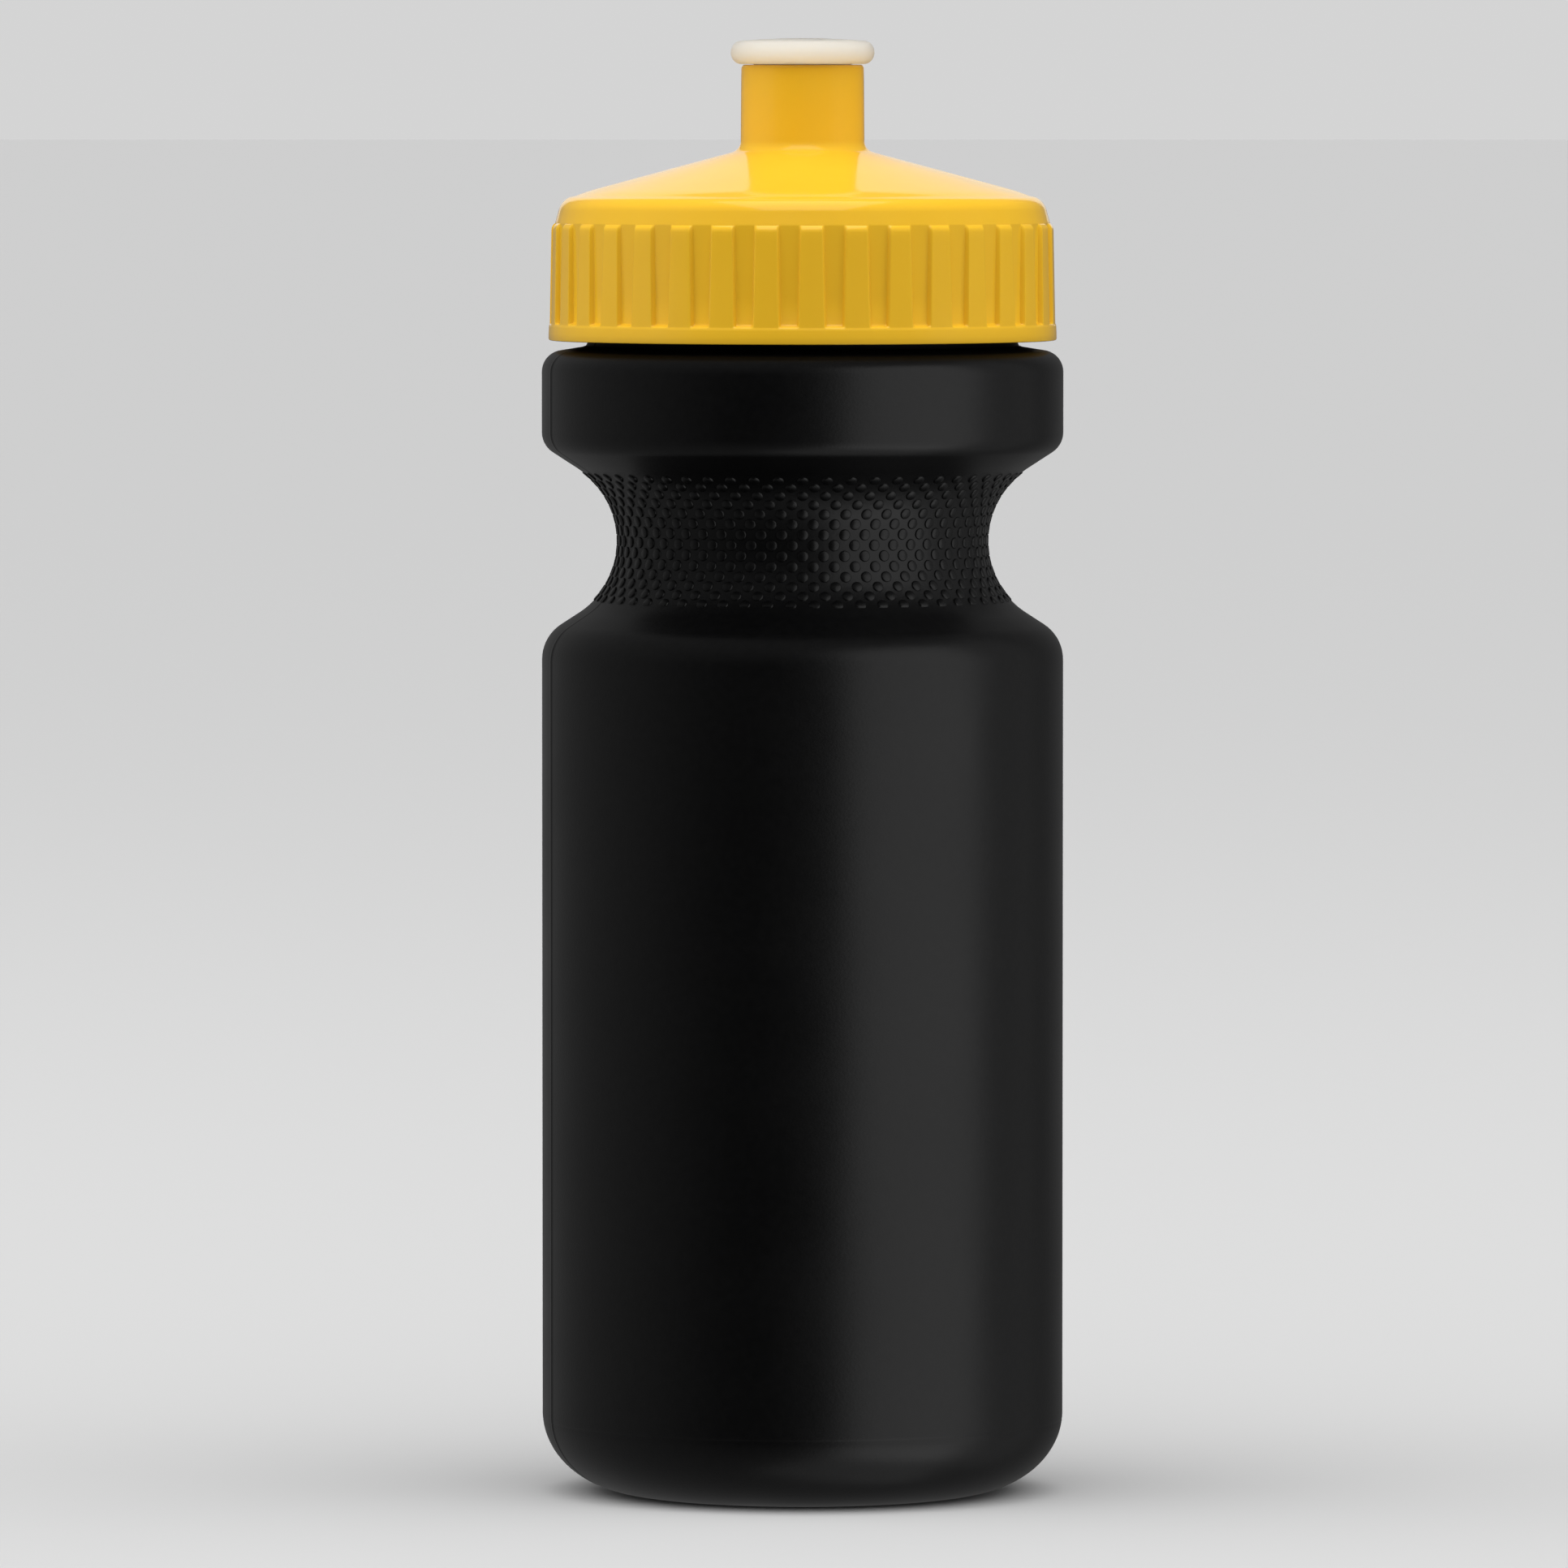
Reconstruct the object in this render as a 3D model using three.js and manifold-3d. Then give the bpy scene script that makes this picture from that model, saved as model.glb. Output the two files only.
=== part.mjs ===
// A squeeze sports bottle of about 600 ml. Four pieces come apart on a bench: the blow-moulded bottle with
// its grip waist and threaded neck, the soft sealing ring, the ribbed screw lid with its chimney and valve pin,
// and the push-pull mouthpiece that slides in the chimney. Millimetres, +Z up, origin at the base's centre.
import * as THREE from "three";
import { mergeVertices } from "three/addons/utils/BufferGeometryUtils.js";
import Module from "manifold-3d";

const wasm = await Module();
wasm.setup();

// ---------------------------------------------------------------- driving dimensions

const GAP = 0.3; // between pieces that touch
const ROUND_SEGMENTS = 48; // round the axis on the bottle, ring and lid
const SMALL_SEGMENTS = 32; // round the axis on the mouthpiece and pin

const bottle = {
  radius: 36.5,
  wall: 1.2,
  baseRingInner: 20.4, // the flat ring that the bottle stands on
  baseCornerAcross: 13.3, // the base corner is a quarter ellipse
  baseCornerUp: 11.2,
  pushUp: 3.0, // height of the base's hollow at its centre
  waistZ: 133.2,
  waistRadius: 25.85,
  waistArc: 12.0, // radius of the groove's round section
  flareAngle: 33, // slope of the straight flares above and below the groove, from level
  lowerFillet: 5.8,
  upperFillet: 3.3,
  bulgeTopZ: 160.1,
  bulgeFillet: 3.0,
};
const neck = { radius: 30.4, stubRadius: 30.1, stubZ: 160.6, rimZ: 176.6, bore: 28.8, edge: 0.4 };
const thread = { pitch: 5, turns: 1.25, neckTopZ: 173.9, lidBelow: 2.0, fadeShare: 0.07, sink: 0.3 };
const neckThread = { crest: 1.9, rootHalf: 1.2, crestHalf: 0.6 };
const lidThread = { crest: 1.7, rootHalf: 1.1, crestHalf: 0.5 };
const ring = { inner: 28.5, outer: 32.2, thickness: 1.5, edge: 0.3 };
const lid = {
  bottomZ: 161.5,
  bore: 32.7,
  flangeRadius: 35.55,
  flangeTopZ: 163.3,
  flangeChamfer: 0.6,
  wallRadius: 34.6,
  shoulderRadius: 34.2,
  shoulderFillet: 3.0,
  coneSlope: 15.1, // degrees from level
  coneTopZ: 188.1, // where the cone would meet the chimney's wall
  coneWall: 1.8,
  plugOuter: 28.2,
  plugInner: 26.9,
  plugBottomZ: 173.5,
};
const rib = {
  count: 35,
  radius: 35.25,
  width: 3.5,
  bottomZ: 163,
  topZ: 177.6,
  buried: 0.35, // how far its sides run on into the skirt's wall
  crownWall: 0.9, // of the ring that joins the ribs inside the wall
  turn: 2.0, // degrees from the front to the middle of the nearest rib
};
const chimney = {
  radius: 8.65,
  bore: 7.6,
  lipBore: 7.0, // the lip at the top holds the mouthpiece's bead
  lipZ: 198.1,
  topZ: 200.0,
  bottomZ: 184.8,
  fillet: 1.2,
  edge: 0.4,
};
const pin = {
  baseRadius: 2.4,
  radius: 2.1,
  tipZ: 203.3,
  chamfer: 0.4,
  spokes: 3,
  spokeWidth: 1.8,
  spokeHeight: 2.4,
};
const mouth = {
  rimRadius: 8.35, // centre of the rim's round edge
  rimEdge: 1.7,
  hole: 2.5,
  plate: 1.8,
  tubeRadius: 6.7,
  tubeBore: 5.4,
  beadRadius: 7.3,
  beadHeight: 1.3,
  bottomZ: 188.9,
};

// ---------------------------------------------------------------- helpers

const rad = THREE.MathUtils.degToRad;
const at = (r, z) => new THREE.Vector2(r, z);

// Points of an ellipse or circle arc in the (radius, height) plane, angles in degrees from the outward
// direction.
function arc(r, z, across, up, from, to, steps) {
  return new THREE.EllipseCurve(r, z, across, up, rad(from), rad(to), to < from).getPoints(steps);
}

// A solid of revolution about Z from its (radius, height) outline.
function revolve(outline, segments = ROUND_SEGMENTS) {
  return new THREE.LatheGeometry(outline, segments).rotateX(Math.PI / 2);
}

// The outline of a ring closes on itself.
function closed(outline) {
  return [...outline, outline[0].clone()];
}

function solid(geometry) {
  const bare = geometry.index ? geometry.toNonIndexed() : geometry.clone();
  bare.deleteAttribute("normal");
  bare.deleteAttribute("uv");
  const merged = mergeVertices(bare, 1e-4);
  return new wasm.Manifold(
    new wasm.Mesh({
      numProp: 3,
      vertProperties: merged.attributes.position.array,
      triVerts: new Uint32Array(merged.index.array),
    }),
  );
}

function geometryOf(made) {
  const { vertProperties, triVerts } = made.getMesh();
  return new THREE.BufferGeometry()
    .setAttribute("position", new THREE.BufferAttribute(new Float32Array(vertProperties), 3))
    .setIndex(new THREE.BufferAttribute(new Uint32Array(triVerts), 1));
}

// Joins geometries that run into each other.
function join(...geometries) {
  return geometryOf(geometries.map(solid).reduce((all, next) => all.add(next)));
}

// A right-handed thread ridge: a straight extrusion of its section wrapped round Z, sinking into its wall at
// both ends. An outward ridge (side 1) runs down from startZ, and an inward one (side -1) runs up from it.
function threadRidge({ crest, rootHalf, crestHalf }, wallRadius, side, startZ, startAngle) {
  const buried = -0.7;
  const section = new THREE.Shape([
    at(buried, -rootHalf),
    at(crest, -crestHalf),
    at(crest, crestHalf),
    at(buried, rootHalf),
  ]);
  const steps = Math.round(thread.turns * ROUND_SEGMENTS);
  const bar = new THREE.ExtrudeGeometry(section, { depth: 1, steps, bevelEnabled: false });
  const place = bar.attributes.position;
  for (let i = 0; i < place.count; i++) {
    const along = place.getZ(i);
    const rise = Math.min(1, along / thread.fadeShare, (1 - along) / thread.fadeShare);
    const out = place.getX(i) > 0 ? THREE.MathUtils.lerp(-thread.sink, crest, rise) : buried;
    const turned = -side * along * thread.turns;
    const angle = startAngle + turned * 2 * Math.PI;
    const radius = wallRadius + side * out;
    const height = startZ + turned * thread.pitch + place.getY(i);
    place.setXYZ(i, radius * Math.cos(angle), radius * Math.sin(angle), height);
  }
  return bar;
}

// ---------------------------------------------------------------- bottle

// The waist's outline from the body wall up to the bulge wall, moved in by `inset` for the inside surface.
function waist(inset) {
  const wall = bottle.radius - inset;
  const grooveR = bottle.waistRadius + bottle.waistArc;
  const groove = bottle.waistArc + inset;
  const sweep = 90 - bottle.flareAngle;
  const endR = grooveR - bottle.waistArc * Math.cos(rad(sweep));
  const cornerRise =
    bottle.waistArc * Math.sin(rad(sweep)) + (bottle.radius - endR) * Math.tan(rad(bottle.flareAngle));
  const shift = Math.tan(rad(sweep / 2));
  const lowerZ = bottle.waistZ - cornerRise - bottle.lowerFillet * shift;
  const upperZ = bottle.waistZ + cornerRise + bottle.upperFillet * shift;
  const lower = bottle.lowerFillet - inset;
  const upper = bottle.upperFillet - inset;
  return [
    ...arc(wall - lower, lowerZ, lower, lower, 0, sweep, 4),
    ...arc(grooveR, bottle.waistZ, groove, groove, 180 + sweep, 180 - sweep, 8),
    ...arc(wall - upper, upperZ, upper, upper, -sweep, 0, 4),
  ];
}

// The base is hollowed upwards inside its resting ring.
function pushedUpBase(thickness) {
  const { baseRingInner, pushUp } = bottle;
  const steps = 4;
  return Array.from({ length: steps + 1 }, (_, i) => {
    const share = i / steps;
    return at(share * baseRingInner, pushUp * (1 - share ** 3) + thickness);
  });
}

function bottleBody() {
  const { radius, wall, baseCornerAcross: across, baseCornerUp: up, bulgeFillet, bulgeTopZ } = bottle;
  const cornerR = radius - across;
  const bulgeR = radius - bulgeFillet;
  const bulgeZ = bulgeTopZ - bulgeFillet;
  const outside = [
    ...pushedUpBase(0),
    ...arc(cornerR, up, across, up, -90, 0, 6),
    ...waist(0),
    ...arc(bulgeR, bulgeZ, bulgeFillet, bulgeFillet, 0, 90, 4),
    at(neck.stubRadius, neck.stubZ),
    at(neck.stubRadius, neck.stubZ + 2),
    at(neck.radius, neck.stubZ + 2.5),
    at(neck.radius, neck.rimZ - neck.edge),
    at(neck.radius - neck.edge, neck.rimZ),
  ];
  const inside = [
    ...pushedUpBase(wall),
    ...arc(cornerR, up, across - wall, up - wall, -90, 0, 6),
    ...waist(wall),
    ...arc(bulgeR, bulgeZ, bulgeFillet - wall, bulgeFillet - wall, 0, 90, 3),
    at(neck.bore, neck.stubZ - wall),
    at(neck.bore, neck.rimZ),
  ].reverse();
  const shell = revolve([...outside, ...inside]);
  return join(shell, threadRidge(neckThread, neck.radius, 1, thread.neckTopZ, 0));
}

// ---------------------------------------------------------------- sealing ring

function sealingRing() {
  const { inner, outer, thickness, edge } = ring;
  const low = neck.rimZ + GAP;
  const high = low + thickness;
  return revolve(
    closed([
      at(inner + edge, low),
      at(outer - edge, low),
      at(outer, low + edge),
      at(outer, high - edge),
      at(outer - edge, high),
      at(inner + edge, high),
      at(inner, high - edge),
      at(inner, low + edge),
    ]),
  );
}

// ---------------------------------------------------------------- lid

const coneZ = (r) => lid.coneTopZ - (r - chimney.radius) * Math.tan(rad(lid.coneSlope));
const coneUnderZ = (r) => coneZ(r) - lid.coneWall / Math.cos(rad(lid.coneSlope));

// Skirt, shoulder, cone, chimney, plug ring and the seat over the sealing ring, as one closed outline.
function lidShell() {
  const { bottomZ, bore, flangeRadius, flangeTopZ, flangeChamfer, shoulderFillet, coneSlope } = lid;
  const shoulderR = lid.shoulderRadius - shoulderFillet;
  const shoulderZ = coneZ(shoulderR) - shoulderFillet / Math.cos(rad(coneSlope));
  const filletR = chimney.radius + chimney.fillet;
  const filletZ = coneZ(filletR) + chimney.fillet / Math.cos(rad(coneSlope));
  const seatZ = neck.rimZ + ring.thickness + 2 * GAP;
  const { fillet, edge } = chimney;
  return revolve(
    closed([
      at(bore + 0.4, bottomZ),
      at(flangeRadius, bottomZ),
      at(flangeRadius, flangeTopZ),
      at(lid.wallRadius, flangeTopZ + flangeChamfer),
      at(lid.wallRadius, rib.topZ),
      ...arc(shoulderR, shoulderZ, shoulderFillet, shoulderFillet, 0, 90 - coneSlope, 4),
      ...arc(filletR, filletZ, fillet, fillet, 270 - coneSlope, 180, 2),
      at(chimney.radius, chimney.topZ - edge),
      at(chimney.radius - edge, chimney.topZ),
      at(chimney.lipBore + edge, chimney.topZ),
      at(chimney.lipBore, chimney.topZ - edge),
      at(chimney.lipBore, chimney.lipZ),
      at(chimney.bore, chimney.lipZ - edge),
      at(chimney.bore, chimney.bottomZ),
      at(chimney.radius, chimney.bottomZ),
      at(chimney.radius, coneUnderZ(chimney.radius)),
      at(lid.plugInner, coneUnderZ(lid.plugInner)),
      at(lid.plugInner, lid.plugBottomZ + 0.5),
      at(lid.plugInner + 0.4, lid.plugBottomZ),
      at(lid.plugOuter - 0.4, lid.plugBottomZ),
      at(lid.plugOuter, lid.plugBottomZ + 0.5),
      at(lid.plugOuter, seatZ),
      at(bore - 0.4, seatZ),
      at(bore, seatZ - 0.4),
      at(bore, bottomZ + 0.8),
    ]),
  );
}

// The grip ribs are one extruded crown whose inside is buried in the skirt.
function ribCrown() {
  const half = rib.width / 2 / rib.radius;
  const step = (2 * Math.PI) / rib.count;
  const rootRadius = lid.wallRadius - rib.buried;
  const outline = [];
  for (let i = 0; i < rib.count; i++) {
    const middle = i * step;
    for (const [radius, turn] of [
      [rootRadius, -half],
      [rib.radius, -half],
      [rib.radius, half],
      [rootRadius, half],
    ]) {
      outline.push(at(radius * Math.cos(middle + turn), radius * Math.sin(middle + turn)));
    }
  }
  const crown = new THREE.Shape(outline);
  crown.holes.push(new THREE.Path().absarc(0, 0, rootRadius - rib.crownWall, 0, 2 * Math.PI));
  const depth = rib.topZ - rib.bottomZ;
  return new THREE.ExtrudeGeometry(crown, { depth, bevelEnabled: false, curveSegments: ROUND_SEGMENTS })
    .rotateZ(rad(rib.turn - 90))
    .translate(0, 0, rib.bottomZ);
}

// The pin that plugs the mouthpiece's hole when it is pushed down, on spokes across the chimney's foot.
function valvePin() {
  const lowZ = chimney.bottomZ + 0.2;
  const spokeZ = lowZ + pin.spokeHeight / 2;
  const stem = revolve(
    [
      at(0, lowZ),
      at(pin.baseRadius, lowZ),
      at(pin.baseRadius, lowZ + pin.spokeHeight + 1),
      at(pin.radius, lowZ + pin.spokeHeight + 2.5),
      at(pin.radius, pin.tipZ - pin.chamfer),
      at(pin.radius - pin.chamfer, pin.tipZ),
      at(0, pin.tipZ),
    ],
    SMALL_SEGMENTS,
  );
  const length = (chimney.bore + chimney.radius) / 2;
  const spokes = [];
  for (let i = 0; i < pin.spokes; i++) {
    spokes.push(
      new THREE.BoxGeometry(length, pin.spokeWidth, pin.spokeHeight)
        .translate(length / 2, 0, spokeZ)
        .rotateZ((i * 2 * Math.PI) / pin.spokes + Math.PI / 2),
    );
  }
  return join(stem, ...spokes);
}

function screwLid() {
  const endTurn = -thread.turns;
  const ridge = threadRidge(
    lidThread,
    lid.bore,
    -1,
    thread.neckTopZ + endTurn * thread.pitch - thread.lidBelow,
    endTurn * 2 * Math.PI,
  );
  return join(lidShell(), ribCrown(), ridge, valvePin());
}

// ---------------------------------------------------------------- mouthpiece

function mouthpiece() {
  const rimZ = chimney.topZ + GAP + mouth.rimEdge;
  const topZ = rimZ + mouth.rimEdge;
  const plateZ = topZ - mouth.plate;
  const beadTopZ = mouth.bottomZ + mouth.beadHeight;
  return revolve(
    closed([
      at(mouth.hole, topZ),
      at(mouth.hole, plateZ),
      at(mouth.tubeBore - 0.6, plateZ),
      at(mouth.tubeBore, plateZ - 0.8),
      at(mouth.tubeBore, mouth.bottomZ),
      at(mouth.beadRadius - 0.4, mouth.bottomZ),
      at(mouth.beadRadius, mouth.bottomZ + 0.5),
      at(mouth.beadRadius, beadTopZ),
      at(mouth.tubeRadius, beadTopZ + 0.4),
      at(mouth.tubeRadius, rimZ - mouth.rimEdge),
      ...arc(mouth.rimRadius, rimZ, mouth.rimEdge, mouth.rimEdge, -90, 90, 8),
    ]),
    SMALL_SEGMENTS,
  );
}

// ---------------------------------------------------------------- assembly

const blackBottle = new THREE.MeshStandardMaterial({ color: 0x17181a, roughness: 0.42, metalness: 0 });
const yellowLid = new THREE.MeshStandardMaterial({ color: 0xf0b722, roughness: 0.22, metalness: 0 });
const naturalPlastic = new THREE.MeshStandardMaterial({ color: 0xeae2d2, roughness: 0.35, metalness: 0 });
const greySeal = new THREE.MeshStandardMaterial({ color: 0xb9bab6, roughness: 0.7, metalness: 0 });

const root = new THREE.Group();

function piece(name, geometry, material) {
  const mesh = new THREE.Mesh(geometry, material);
  mesh.name = name;
  root.add(mesh);
}

piece("bottle_body", bottleBody(), blackBottle);
piece("sealing_ring", sealingRing(), greySeal);
piece("screw_lid", screwLid(), yellowLid);
piece("mouthpiece", mouthpiece(), naturalPlastic);

export default root;
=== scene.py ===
"""The look of a squeeze sports bottle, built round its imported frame. Metres, +Z up, the front faces -Y.

Outlines are (radius, height) pairs in millimetres, and make() turns them into metres.
"""

import math

import bmesh
import bpy
from mathutils import Matrix, Vector

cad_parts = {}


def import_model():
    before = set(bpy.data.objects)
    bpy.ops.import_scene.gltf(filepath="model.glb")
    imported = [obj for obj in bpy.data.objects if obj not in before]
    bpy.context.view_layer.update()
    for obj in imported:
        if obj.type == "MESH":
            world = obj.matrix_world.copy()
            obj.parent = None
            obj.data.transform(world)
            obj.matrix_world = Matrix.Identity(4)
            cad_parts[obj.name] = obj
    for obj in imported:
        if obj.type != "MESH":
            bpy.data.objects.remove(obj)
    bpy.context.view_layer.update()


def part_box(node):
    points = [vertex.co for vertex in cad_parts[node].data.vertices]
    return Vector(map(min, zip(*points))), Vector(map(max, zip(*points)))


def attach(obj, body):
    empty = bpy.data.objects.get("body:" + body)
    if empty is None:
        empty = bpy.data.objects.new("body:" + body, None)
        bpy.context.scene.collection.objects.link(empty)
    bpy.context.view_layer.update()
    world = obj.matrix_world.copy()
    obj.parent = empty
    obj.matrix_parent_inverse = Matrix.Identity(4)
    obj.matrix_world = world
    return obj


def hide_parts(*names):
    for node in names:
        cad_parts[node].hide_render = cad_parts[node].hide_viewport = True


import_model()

MM = 0.001


def corners_mm(node):
    """A CAD node's lowest and highest corners in millimetres."""
    return [Vector(corner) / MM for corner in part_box(node)]


BODY_HIGH = corners_mm("bottle_body")[1]
LID_LOW, LID_HIGH = corners_mm("screw_lid")
RING_LOW, RING_HIGH = corners_mm("sealing_ring")
MOUTH_LOW, MOUTH_HIGH = corners_mm("mouthpiece")

# ---------------------------------------------------------------- dimensions, in millimetres and degrees

BODY_R = BODY_HIGH.x
RIM_Z = BODY_HIGH.z
WALL = 1.2
FRONT = -90  # the azimuth that faces the camera

BASE_RING = (20.4, 23.2)  # the flat ring that the bottle stands on
BASE_UP = 11.2  # height of the base's rounded corner
PUSH_UP = 3.0
WELD_LINE_Z = 10.2  # where the base insert of the mould meets its halves
WELD_LINE_DEPTH = 0.06

GROOVE_Z = 133.4
GROOVE_R = 25.85
GROOVE_ARC = 12.0
FLARE = 33
LOWER_FILLET = 5.8
UPPER_FILLET = 3.3
BULGE_TOP = 160.1
BULGE_FILLET = 3.0

DOTS_ROUND = 56
DOT_ROWS = 14
DOTS_CENTRE_Z = 134.3
DOT_ROW_GAP = math.pi * GROOVE_R / DOTS_ROUND * 1.02
DOT_SIDES = 16
# Each step up a dot: its radius, its height, and how far below its centre the lowest row is cut off flat.
DOT_RINGS = ((0.80, 0.0, 0.54), (0.74, 0.14, 0.44), (0.66, 0.19, 0.35))

SEAM_AZIMUTH = 196.0  # the mould halves meet here and opposite
SEAM_HEIGHT = 0.07
SEAM_HALF_WIDTH = 0.22
PINCH_OFF_HEIGHT = 0.2

NECK_R = 30.4
NECK_STUB_R = 30.1
NECK_STUB_Z = 160.6
NECK_BORE = 28.8
PITCH = 5.0
TURNS = 1.25
NECK_THREAD_Z = 173.9
LID_THREAD_BELOW = 2.0
THREAD_STEPS = 150
THREAD_FADE = 0.09  # share of the thread that tapers at each end
THREAD_ROOT = 0.25  # depth of the tapered ends below the wall

LID_BORE = 32.7
PLUG = (26.9, 28.2)  # inside and outside radius of the ring that plugs the neck
PLUG_Z = 173.5
SEAT_Z = RING_HIGH.z + 0.3
LID_WALL = 1.8
FLANGE_R = LID_HIGH.x
SKIRT_FOOT_Z = LID_LOW.z
RIBS = 35
RIB_TURN = 2.0
RIB_R = (35.38, 35.12)  # at the foot and at the top
RIB_HALF = (1.75, 1.46)  # half the face's width, at the foot and at the top
RIB_Z = (163.9, 177.9)
SKIRT_R = 34.6
SHOULDER_R = 34.2
SHOULDER_FILLET = 2.7
CONE_SLOPE = 15.1
CONE_TOP = 188.1  # where the cone would meet the chimney's wall
CHIMNEY_R = 8.65
CHIMNEY_BORE = 7.6
CHIMNEY_FOOT_Z = 185.0
CHIMNEY_TOP = 200.0
LIP_BORE = 7.0  # the retaining lip at the chimney's top
FOOT_FILLET = 1.7

SPOUT_R = MOUTH_HIGH.x
SPOUT_EDGE = 1.5
SPOUT_CROWN = 0.35  # the top's middle stands this far above its rim
TUBE_R = 6.7
TUBE_BORE = 5.4
HOLE_R = 2.5
SEAL_BORE = 28.5
SEAL_BEAD = 0.14


# ---------------------------------------------------------------- outlines and meshes


def arc(r, z, across, up, start, end, steps):
    """Points on an ellipse's arc. Angles run from the outward direction."""
    turned = [math.radians(start + (end - start) * i / steps) for i in range(steps + 1)]
    return [(r + across * math.cos(t), z + up * math.sin(t)) for t in turned]


def ring(bm, r, z, angles):
    if r < 1e-6:
        return [bm.verts.new((0, 0, z))]
    return [bm.verts.new((r * math.cos(t), r * math.sin(t), z)) for t in angles]


def bridge(bm, low, high):
    """Faces between two rings. A ring of one point is a pole."""
    count = max(len(low), len(high))
    for i in range(count):
        j = (i + 1) % count
        loop = []
        for row, order in ((low, (i, j)), (high, (j, i))):
            loop += [row[0]] if len(row) == 1 else [row[k] for k in order]
        bm.faces.new(loop)


def revolve(bm, outline, angles):
    """Rings of the outline joined up, lowest index first. Returns the rings."""
    rings = [ring(bm, r, z, angles) for r, z in outline]
    for low, high in zip(rings, rings[1:]):
        bridge(bm, low, high)
    return rings


def even_angles(count, start=0.0):
    return [math.radians(start) + 2 * math.pi * i / count for i in range(count)]


def make(name, bm):
    """A mesh object in metres from a bmesh in millimetres."""
    bmesh.ops.recalc_face_normals(bm, faces=bm.faces)
    bmesh.ops.scale(bm, vec=(MM, MM, MM), verts=bm.verts)
    mesh = bpy.data.meshes.new(name)
    bm.to_mesh(mesh)
    bm.free()
    piece = bpy.data.objects.new(name, mesh)
    bpy.context.scene.collection.objects.link(piece)
    return piece


def unite(piece, *others):
    """Joins closed meshes into one, and deletes the others."""
    for other in others:
        join = piece.modifiers.new("join", "BOOLEAN")
        join.operation = "UNION"
        join.solver = "EXACT"
        join.object = other
        joined = bpy.data.meshes.new_from_object(piece.evaluated_get(bpy.context.evaluated_depsgraph_get()))
        piece.modifiers.clear()
        piece.data = joined
        bpy.data.objects.remove(other)


def finish_surface(piece, sharp=38.0):
    """Smooth shading, with the edges that turn more than sharp degrees kept crisp."""
    bm = bmesh.new()
    bm.from_mesh(piece.data)
    bmesh.ops.dissolve_degenerate(bm, dist=1e-8, edges=bm.edges)
    bmesh.ops.triangulate(bm, faces=[f for f in bm.faces if len(f.verts) > 4])
    for face in bm.faces:
        face.smooth = True
    for edge in bm.edges:
        edge.smooth = len(edge.link_faces) == 2 and edge.calc_face_angle(0) < math.radians(sharp)
    bm.to_mesh(piece.data)
    bm.free()


# ---------------------------------------------------------------- bottle

GROOVE_CENTRE_R = GROOVE_R + GROOVE_ARC
SWEEP = 90 - FLARE
GROOVE_END = math.radians(SWEEP) * GROOVE_ARC  # length of the arc from its narrowest height to its end


def groove_point(v, inset=0.0):
    """The groove's surface, v millimetres along its arc from its narrowest height."""
    turn = v / GROOVE_ARC
    radius = GROOVE_ARC + inset
    return (GROOVE_CENTRE_R - radius * math.cos(turn), GROOVE_Z + radius * math.sin(turn))


def shoulder_fillets(inset):
    """Centre radius, centre height and radius of the round corners below and above the groove."""
    end_r = GROOVE_CENTRE_R - GROOVE_ARC * math.cos(math.radians(SWEEP))
    slope = math.tan(math.radians(FLARE))
    rise = GROOVE_ARC * math.sin(math.radians(SWEEP)) + (BODY_R - end_r) * slope
    shift = math.tan(math.radians(SWEEP / 2))
    low = (BODY_R - LOWER_FILLET, GROOVE_Z - rise - LOWER_FILLET * shift, LOWER_FILLET - inset)
    high = (BODY_R - UPPER_FILLET, GROOVE_Z + rise + UPPER_FILLET * shift, UPPER_FILLET - inset)
    return low, high


def base_outline(inset, corner_steps, weld_line=False):
    """From the middle of the pushed-up base round the corner to the wall."""
    inner, outer = BASE_RING
    dome = [i / 12 for i in range(13)]
    points = [(s * inner, PUSH_UP * (1 - s**3) * (1 - 0.15 * s) + inset) for s in dome]
    corner = (outer, BASE_UP, BODY_R - outer - inset, BASE_UP - inset)
    if not weld_line:
        return points + arc(*corner, -90, 0, corner_steps)
    weld = math.degrees(math.asin(WELD_LINE_Z / BASE_UP - 1))
    below, above = arc(*corner, -90, weld - 0.8, corner_steps), arc(*corner, weld + 0.8, 0, 3)
    return points + below + [(above[0][0] - WELD_LINE_DEPTH, WELD_LINE_Z)] + above


def bottle_outside_low(band_low):
    low, _ = shoulder_fillets(0)
    end = arc(*low[:2], low[2], low[2], 0, SWEEP, 9)
    groove = [groove_point(-GROOVE_END + (band_low + GROOVE_END) * i / 3) for i in range(4)]
    wall = [(BODY_R, z) for z in (40, 70, 95)]
    return base_outline(0, 20, weld_line=True) + wall + end + groove


def bottle_outside_high(band_high):
    _, high = shoulder_fillets(0)
    groove = [groove_point(band_high + (GROOVE_END - band_high) * i / 3) for i in range(4)]
    start = arc(*high[:2], high[2], high[2], -SWEEP, 0, 7)
    top = arc(BODY_R - BULGE_FILLET, BULGE_TOP - BULGE_FILLET, BULGE_FILLET, BULGE_FILLET, 0, 84, 9)
    foot = ((0.8, -0.05), (0.2, 0.15), (0.0, 0.6), (0.0, 1.9))  # out from the stub and up from its foot
    neck = [(NECK_STUB_R + out, NECK_STUB_Z + up) for out, up in foot]
    neck += [(NECK_R, z) for z in (NECK_STUB_Z + 2.3, 165.7, 168.6, 171.8, RIM_Z - 0.5)]
    lip = arc(NECK_R - 0.4, RIM_Z - 0.4, 0.4, 0.4, 10, 90, 4)
    return groove + start + top + neck + lip


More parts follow.
